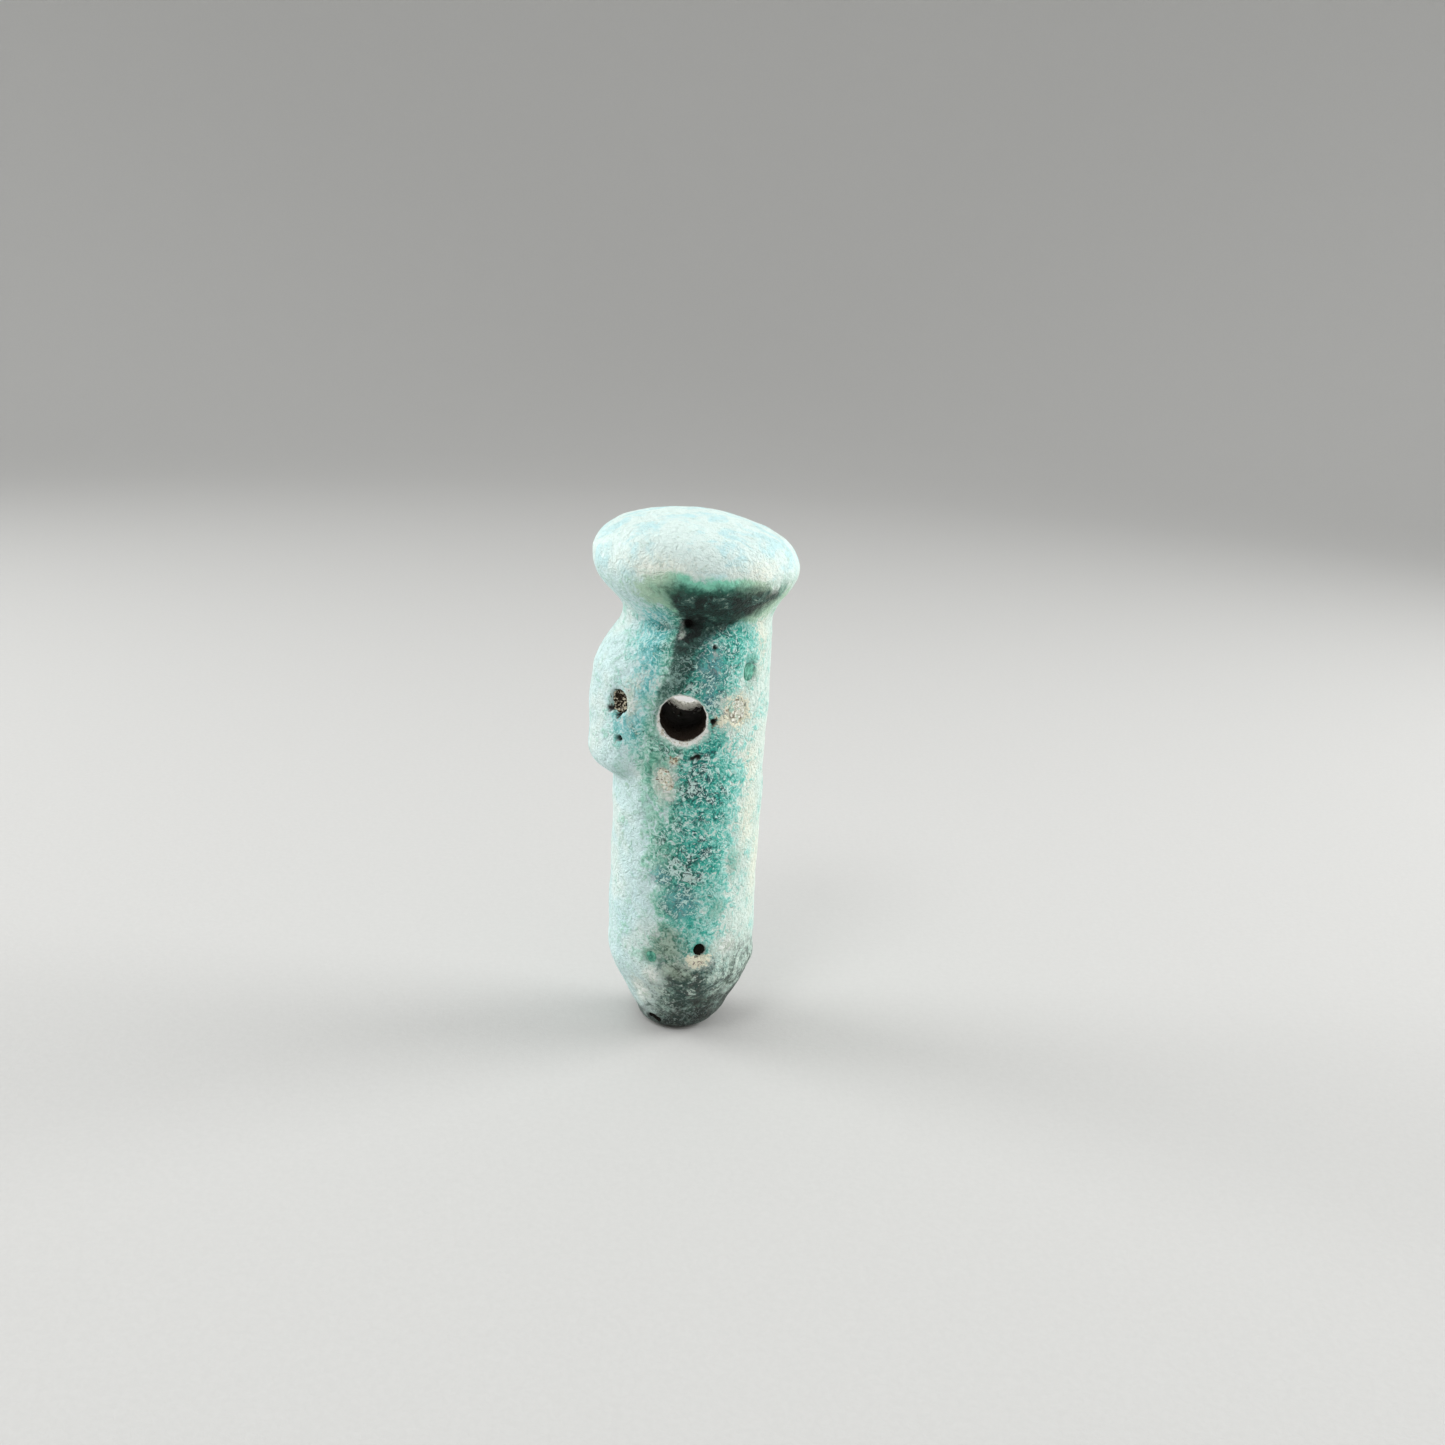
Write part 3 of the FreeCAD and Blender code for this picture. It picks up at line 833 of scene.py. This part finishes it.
def hollowColours(bench, colour):
    # the green belt under the lip, then deeper glaze with painted shade in the broad hollows, and the painted
    # shade in the recess and the valley beside the lug
    tones, belt = bench.tones, bench.painted("lipStain")
    unrest = (bench.mottle - 0.5) * 0.8 + (bench.flecks - 0.5) * 0.6
    belt = belt + unrest * bench.step(belt, 0.0, 0.25)
    sides = bench.step(bench.uneven(abs(bench.x - 0.5), patchy=1.5), 0.8, 1.9)
    pale = bench.mix(sides, tones["belt"], tones["beltSides"])
    deep = bench.mix(sides, tones["beltDeep"], bench.mottled("lipSides"))
    colour = bench.mix(bench.step(belt, 0.01, 0.36) * 0.9, colour, pale)
    colour = bench.mix(bench.step(belt, 0.36, 0.94) * 0.95, colour, deep)
    # deeper glaze with painted shade in the broad hollows
    hollow = bench.step(bench.uneven(bench.painted("broadHollow"), mottle=0.7), 0.3, 1.2)
    colour = bench.mix(hollow * 0.4, colour, tones["hollow"])
    # painted shade beside the lug's crease
    valley = bench.step(bench.uneven(bench.painted("valley"), mottle=0.8, flecks=0.7), 0.15, 0.85)
    valleyTone = bench.mix(bench.crystals * 0.6, tones["valley"], tones["valleyCrystals"])
    colour = bench.mix(valley * 0.82, colour, valleyTone)
    # painted shade in the recess under the umbel
    shade = bench.step(bench.uneven(bench.painted("shade"), mottle=0.9, flecks=0.5), 0.05, 0.95)
    return bench.mix(shade * 0.96, colour, bench.mottled("gloom"))


def patchColours(bench, colour):
    # patches, dirt, the worn rim of the hole and the soil in the pits
    for name, soft, torn, strength in glazeLook["patches"]:
        colour = bench.mix(bench.ragged(name, soft, torn) * strength, colour, bench.mottled(name))
    navy = bench.ragged("navy", 0.4) * (1 - bench.crystals) * 0.7
    colour = bench.mix(navy, colour, bench.mottled("navy"))
    dirt = bench.step(bench.uneven(bench.painted("dirt"), flecks=2.4, grain=1.2), 0.72, 0.86)
    colour = bench.mix(dirt * 0.9, colour, bench.mottled("dirt"))
    fine = bench.step(bench.painted("fineHollow"), 0.4, 1.6)
    colour = bench.mix(fine * 0.35, colour, bench.tones["fineHollow"])
    wear = bench.uneven(bench.painted("worn"), mottle=0.9, grain=0.6)
    colour = bench.mix(bench.step(wear, 0.05, 0.5) * 0.6, colour, bench.tones["thinnedRim"])
    colour = bench.mix(bench.step(wear, 0.42, 0.72), colour, bench.mottled("bareRim"))
    return bench.mix(bench.painted("soil"), colour, bench.tones["soil"])


def glazeMaterial():
    material, bench = newMaterial("turquoiseGlaze", GlazeBench)
    foot = bench.step(bench.uneven(bench.z, patchy=2.5), 5.4, 3.2)
    foot = foot * bench.step(bench.uneven(bench.x, patchy=2.0), -2.6, -1.0)
    colour = crownColours(bench, depthColours(bench))
    colour = frosted(bench, footColours(bench, colour, foot), foot)
    colour = patchColours(bench, hollowColours(bench, colour))
    roughness = bench.uneven(glazeLook["roughness"], grain=0.4, mottle=0.2)
    relief = bench.grain * 0.6 + bench.mottle * 0.9 + bench.flecks * 1.0 + bench.sparkle * 0.5
    normal = bench.bump(relief, 1.0, glazeLook["reliefHeight"])
    finishMaterial(bench, colour, roughness, normal, {"Specular IOR Level": glazeLook["specular"]})
    return material


paste = {  # the body under the glaze, seen in the hole, round its mouths and under the foot
    "voxel": 0.11,
    "softening": 3,
    "ripple": 0.5,                                      # its share of the ripples that the glaze has
    "mouth": (1.15, 1.45), "mouthSides": (1.8, 2.6),    # how far out, and how far from the middle
    "swell": 0.09,                                      # up to just under the glaze where that is worn
    "toe": (0.35, 0.9), "toeTuck": 0.11,                # kept inside the glaze at the foot
    "bore": (0.98, 1.08), "boreThrough": 3.4,
    "boreWaves": [(1.0, 0.45, 9), (0.6, 0.16, 10)], "boreCut": (-0.2, 1), "boreRough": 0.05,
    "boreBare": (0.4, 2.2), "mouthBare": 0.6,           # where the grains lie
    "grains": 26.0, "smallest": 0.02, "largest": 0.055, "seed": 3,
    "tones": {
        "buff": (222, 216, 194), "white": (250, 248, 238), "quartz": (250, 249, 242), "tan": (150, 126, 92),
        "farEndLight": (255, 254, 248), "inside": (16, 11, 7), "insidePale": (52, 38, 25),
        "toe": (40, 50, 42), "toePale": (120, 128, 112),
    },
}


def makePaste(nodeName, tree, material):
    shell = Shell(voxelled(sewn(nodeName), paste["voxel"]))
    shell.points = shell.relaxed(shell.points, paste["softening"])
    facing = shell.normals()
    level = facing * np.array([1, 1, 0])
    reach, away = fromBore(shell.points)
    depth = np.abs(shell.points[:, 1])
    inBore = (1 - smooth(reach, *paste["bore"])) * (depth < paste["boreThrough"])
    mouth = (1 - smooth(reach, *paste["mouth"])) * (1 - inBore) * smooth(depth, *paste["mouthSides"])
    toe = 1 - smooth(shell.points[:, 2], *paste["toe"])
    shell.points = shell.points + facing * (paste["swell"] * mouth)[:, None]
    shell.points = shell.points - level * (paste["toeTuck"] * toe)[:, None]
    shell.points = sinkPits(pressed(shell.points, paste["ripple"]))[0]
    rough = np.clip(lumpy(shell.points, paste["boreWaves"]), *paste["boreCut"])
    shell.points = shell.points + away * (rough * paste["boreRough"] * inBore)[:, None]
    shell.paint("inBore", inBore)
    shell.paint("bare", np.maximum(inBore * smooth(depth, *paste["boreBare"]), mouth * paste["mouthBare"]))
    shell.write(1)
    return Shell(strewn(shell.mesh, tree, material, paste))


def pasteMaterial():
    material, bench = newMaterial("quartzPaste")
    at, tones = bench.placed(), tinted(paste["tones"])
    y, z = bench.axis(at, "Y"), bench.axis(at, "Z")
    mottle = bench.cloud(at, 0.5, 4, 0.65)
    grain = bench.cloud(at, 0.11, 3, 0.7, seed=4)
    colour = bench.mix(mottle, tones["buff"], tones["white"])
    colour = bench.mix(bench.step(grain, 0.52, 0.68) * 0.6, colour, tones["quartz"])
    colour = bench.mix(bench.step(grain, 0.43, 0.32) * 0.35, colour, tones["tan"])
    # painted light: paler towards the far end of the hole, where the light falls in
    colour = bench.mix(bench.step(y, 0.8, 1.2) * 0.8, colour, tones["farEndLight"])
    ragged = (mottle - 0.5) * 1.2 + (grain - 0.5) * 0.5
    chipped = (mottle - 0.5) * 4.0 + (grain - 0.5) * 2.5
    inside = bench.step(y + ragged * 0.4, -3.02, -2.85) * bench.step(y + chipped, 1.55, 1.3)
    inside = inside * bench.step(bench.painted("inBore"), 0.2, 0.7)
    colour = bench.mix(inside, colour, bench.mix(grain, tones["inside"], tones["insidePale"]))
    toe = bench.mix(mottle, tones["toe"], tones["toePale"])
    colour = bench.mix(bench.step(z, 1.0, 0.5) * 0.9, colour, toe)
    roughness = 0.85 + (grain - 0.5) * 0.2
    normal = bench.bump(grain + mottle * 0.6, 0.9, 0.00006)
    finishMaterial(bench, colour, roughness, normal, {"Specular IOR Level": 0.25})
    return material


fills = {  # what lies in the hollows, its surface by the height, size and seed of its waves
    "soil": {
        "voxel": 0.035, "softening": 2, "waves": [(0.06, 0.16, 12), (0.03, 0.08, 13)],
        "grains": 260.0, "smallest": 0.018, "largest": 0.055, "seed": 5,
        "tones": {"black": (8, 7, 5), "brown": (62, 52, 34), "pale": (186, 172, 138),
                  "cream": (252, 246, 226), "low": (6, 5, 4)},
    },
    "pool": {
        "voxel": 0.035, "softening": 2, "waves": [(0.02, 0.3, 12), (0.01, 0.15, 13)],
        "grains": 20.0, "smallest": 0.01, "largest": 0.02, "seed": 6,
        "tones": {"deep": (28, 116, 96), "pale": (104, 188, 162), "frost": (176, 216, 196),
                  "specks": (18, 60, 52)},
    },
    "crust": {
        "voxel": 0.035, "softening": 2, "waves": [(0.05, 0.18, 12), (0.025, 0.09, 13)],
        "grains": 320.0, "smallest": 0.014, "largest": 0.045, "seed": 7,
        "tones": {"grey": (206, 208, 186), "white": (254, 255, 246), "buff": (238, 222, 176),
                  "dirt": (60, 44, 26), "dirtPale": (146, 116, 74), "glaze": (176, 218, 202)},
    },
}
fillTop = (0.3, 0.8)  # how squarely the top of a fill looks outwards


def makeFill(nodeName, sizes, tree, material):
    shell = Shell(voxelled(sewn(nodeName), sizes["voxel"]))
    shell.points = shell.relaxed(shell.points, sizes["softening"])
    facing = shell.normals()
    top = smooth(np.sum(facing * outwards(shell.points)[0], axis=1), *fillTop)
    rough = lumpy(shell.points, sizes["waves"]) * top
    shell.points = pressed(shell.points) + facing * rough[:, None]
    shell.paint("bare", top)
    shell.write(1)
    return Shell(strewn(shell.mesh, tree, material, sizes))


def soilMaterial():
    # black soil, speckled with cream in the upper pit
    material, bench = newMaterial("packedSoil")
    at, tones = bench.placed(), tinted(fills["soil"]["tones"])
    z = bench.axis(at, "Z")
    grain = bench.cloud(at, 0.09, 4, 0.7)
    clods = bench.cloud(at, 0.17, 3, 0.6, seed=8)
    colour = bench.mix(grain, tones["black"], tones["brown"])
    pale = bench.step(clods + (grain - 0.5) * 0.8, 0.53, 0.59) * bench.step(z, 8, 12)
    colour = bench.mix(pale, colour, bench.mix(grain, tones["pale"], tones["cream"]))
    colour = bench.mix(bench.step(z, 12, 8) * 0.7, colour, tones["low"])
    normal = bench.bump(grain, 1.0, 0.00008)
    finishMaterial(bench, colour, 0.9 - grain * 0.15, normal, {"Specular IOR Level": 0.2})
    return material


def poolMaterial():
    material, bench = newMaterial("pooledGlaze")
    at, tones = bench.placed(), tinted(fills["pool"]["tones"])
    swirl = bench.cloud(at, 0.35, 4, 0.65, 1.2)
    grain = bench.cloud(at, 0.1, 3, 0.65)
    colour = bench.mix(bench.step(swirl, 0.36, 0.62), tones["deep"], tones["pale"])
    colour = bench.mix(bench.step(grain, 0.54, 0.66) * 0.45, colour, tones["frost"])
    colour = bench.mix(bench.step(grain, 0.44, 0.34) * 0.4, colour, tones["specks"])
    normal = bench.bump(grain, 0.5, 0.00004)
    finishMaterial(bench, colour, 0.3 + grain * 0.25, normal, {"Specular IOR Level": 0.5})
    return material


def crustMaterial():
    material, bench = newMaterial("buffCrust")
    at, tones = bench.placed(), tinted(fills["crust"]["tones"])
    grain = bench.cloud(at, 0.1, 4, 0.7)
    mottle = bench.cloud(at, 0.3, 3, 0.6)
    blots = bench.cloud(at, 0.34, 3, 0.65, 0.8, seed=10)
    colour = bench.mix(bench.step(grain, 0.38, 0.6), tones["grey"], tones["white"])
    colour = bench.mix(bench.step(mottle, 0.54, 0.64) * 0.5, colour, tones["buff"])
    dirt = bench.mix(grain, tones["dirt"], tones["dirtPale"])
    colour = bench.mix(bench.step(blots, 0.58, 0.64) * 0.85, colour, dirt)
    colour = bench.mix(bench.step(blots, 0.45, 0.38) * 0.8, colour, tones["glaze"])
    normal = bench.bump(grain, 0.9, 0.00007)
    finishMaterial(bench, colour, 0.8 + grain * 0.15, normal, {"Specular IOR Level": 0.25})
    return material


stage = {
    "flat": 170, "curve": 140, "wall": 70, "turns": 96, "bends": 12,   # a bowl, the same from every side
    "tones": {"paper": (196, 196, 194), "fibres": (170, 170, 168)},
    "sky": 0.84, "seenSky": 0.8,
    "aim": 12,          # the height that the lights look at
    "spread": 110,      # degrees; narrow enough to keep the floor beside the lamps from burning out
    "lights": [  # name, bearing, elevation, distance, size, power in watts; bearing 0 is the camera's side
        ("leftBox", 258, 20, 190, 130, 0.103),
        ("rightBox", 104, 20, 190, 130, 0.123),
        ("frontBox", 335, 52, 190, 60, 0.022),
    ],
}


def paperMaterial():
    material, bench = newMaterial("palePaper")
    tones = tinted(stage["tones"])
    fibre = bench.cloud(bench.placed(), 0.25, 4, 0.7, 0.5)
    colour = bench.mix(bench.step(fibre, 0.3, 0.7) * 0.12, tones["paper"], tones["fibres"])
    finishMaterial(bench, colour, 0.9, bench.bump(fibre, 0.25, 0.00005), {"Specular IOR Level": 0.2})
    return material


def makeFloor():
    # a flat that curves up into a low wall, turned round the amulet
    profile = [(0.0, 0.0), (stage["flat"] / 2, 0.0), (stage["flat"], 0.0)]
    for bend in range(1, stage["bends"] + 1):
        angle = math.pi / 2 * bend / stage["bends"]
        across = stage["flat"] + stage["curve"] * math.sin(angle)
        profile.append((across, stage["curve"] * (1 - math.cos(angle))))
    profile.append((profile[-1][0], profile[-1][1] + stage["wall"]))
    floor = bmesh.new()
    line = [floor.verts.new((reach / perMetre, 0, height / perMetre)) for reach, height in profile]
    edges = [floor.edges.new(pair) for pair in zip(line, line[1:])]
    bmesh.ops.spin(floor, geom=line + edges, cent=(0, 0, 0), axis=(0, 0, 1), angle=math.tau,
                   steps=stage["turns"], use_merge=True)
    bmesh.ops.remove_doubles(floor, verts=floor.verts, dist=1e-6)
    bmesh.ops.recalc_face_normals(floor, faces=floor.faces)
    mesh = bpy.data.meshes.new("paperSweep")
    floor.to_mesh(mesh)
    floor.free()
    for polygon in mesh.polygons:
        polygon.use_smooth = True
    mesh.materials.append(paperMaterial())
    sweep = bpy.data.objects.new("paperSweep", mesh)
    scene.collection.objects.link(sweep)


def makeSky():
    world = bpy.data.worlds.new("studio")
    scene.world = world
    world.use_nodes = True
    bench = Bench(world.node_tree)
    seen = bench.node("ShaderNodeLightPath", {}, {}, "Is Camera Ray")
    for ray in ("Is Glossy Ray", "Is Transmission Ray"):
        seen = seen.maths("MAXIMUM", seen, bench.node("ShaderNodeLightPath", {}, {}, ray))
    strength = stage["sky"] + seen * (stage["seenSky"] - stage["sky"])
    values = {"Color": (1, 1, 1, 1), "Strength": strength}
    sky = bench.node("ShaderNodeBackground", {}, values)
    bench.node("ShaderNodeOutputWorld", {}, {"Surface": sky})


def makeLights():
    aim = Vector((0, 0, stage["aim"]))
    for name, bearing, elevation, distance, size, power in stage["lights"]:
        turn, rise = math.radians(bearing), math.radians(elevation)
        way = Vector((math.sin(turn) * math.cos(rise), -math.cos(turn) * math.cos(rise), math.sin(rise)))
        light = bpy.data.lights.new(name, "AREA")
        light.shape = "DISK"
        light.size = size / perMetre
        light.spread = math.radians(stage["spread"])
        light.energy = power
        holder = bpy.data.objects.new(name, light)
        holder.location = (aim + way * distance) / perMetre
        holder.rotation_mode = "QUATERNION"
        holder.rotation_quaternion = way.to_track_quat("Z", "Y")
        holder.visible_camera = False
        scene.collection.objects.link(holder)


view = {
    "eye": (1.33, -63.795, 32.663),
    "pitch": 16.5,      # degrees down
    "roll": 3.3,        # the camera was held a little askew
    "lens": 38.99, "sensor": 36.0,
    "nearest": 0.001, "farthest": 10,       # metres
}


def makeCamera():
    pitch, roll = math.radians(view["pitch"]), math.radians(view["roll"])
    forward = Vector((0, math.cos(pitch), -math.sin(pitch)))
    level = Vector((1, 0, 0))
    upright = Vector((0, math.sin(pitch), math.cos(pitch)))
    right = level * math.cos(roll) + upright * math.sin(roll)
    up = upright * math.cos(roll) - level * math.sin(roll)
    lens = bpy.data.cameras.new("camera")
    lens.lens = view["lens"]
    lens.sensor_width = view["sensor"]
    lens.clip_start = view["nearest"]
    lens.clip_end = view["farthest"]
    camera = bpy.data.objects.new("camera", lens)
    turned = Matrix((right, up, -forward)).transposed().to_4x4()
    camera.matrix_world = Matrix.Translation(Vector(view["eye"]) / perMetre) @ turned
    scene.collection.objects.link(camera)
    scene.camera = camera


makeFloor()
makeSky()
makeLights()
makeCamera()
scene.view_settings.view_transform = "Standard"
print("stage, lights and camera set")

glazeSkin = makeGlaze().piece("glaze_skin", glazeMaterial(), "turquoise_glaze")
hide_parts("glaze_coat")

grains = grainTree()
quartzPaste = pasteMaterial()
columnPaste = makePaste("column_core", grains, quartzPaste).piece("column_paste", quartzPaste, "quartz_paste")
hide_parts("column_core")
lugPaste = makePaste("suspension_lug", grains, quartzPaste).piece("lug_paste", quartzPaste, "quartz_paste")
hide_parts("suspension_lug")

soil, pooled, crust = soilMaterial(), poolMaterial(), crustMaterial()
soilFill = makeFill("pit_soil", fills["soil"], grains, soil).piece("soil_fill", soil, "soil")
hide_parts("pit_soil")
poolFill = makeFill("glaze_pools", fills["pool"], grains, pooled).piece("pool_fill", pooled, "pooled_glaze")
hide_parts("glaze_pools")
crustFill = makeFill("buff_crust", fills["crust"], grains, crust).piece("crust_fill", crust, "crust")
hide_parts("buff_crust")
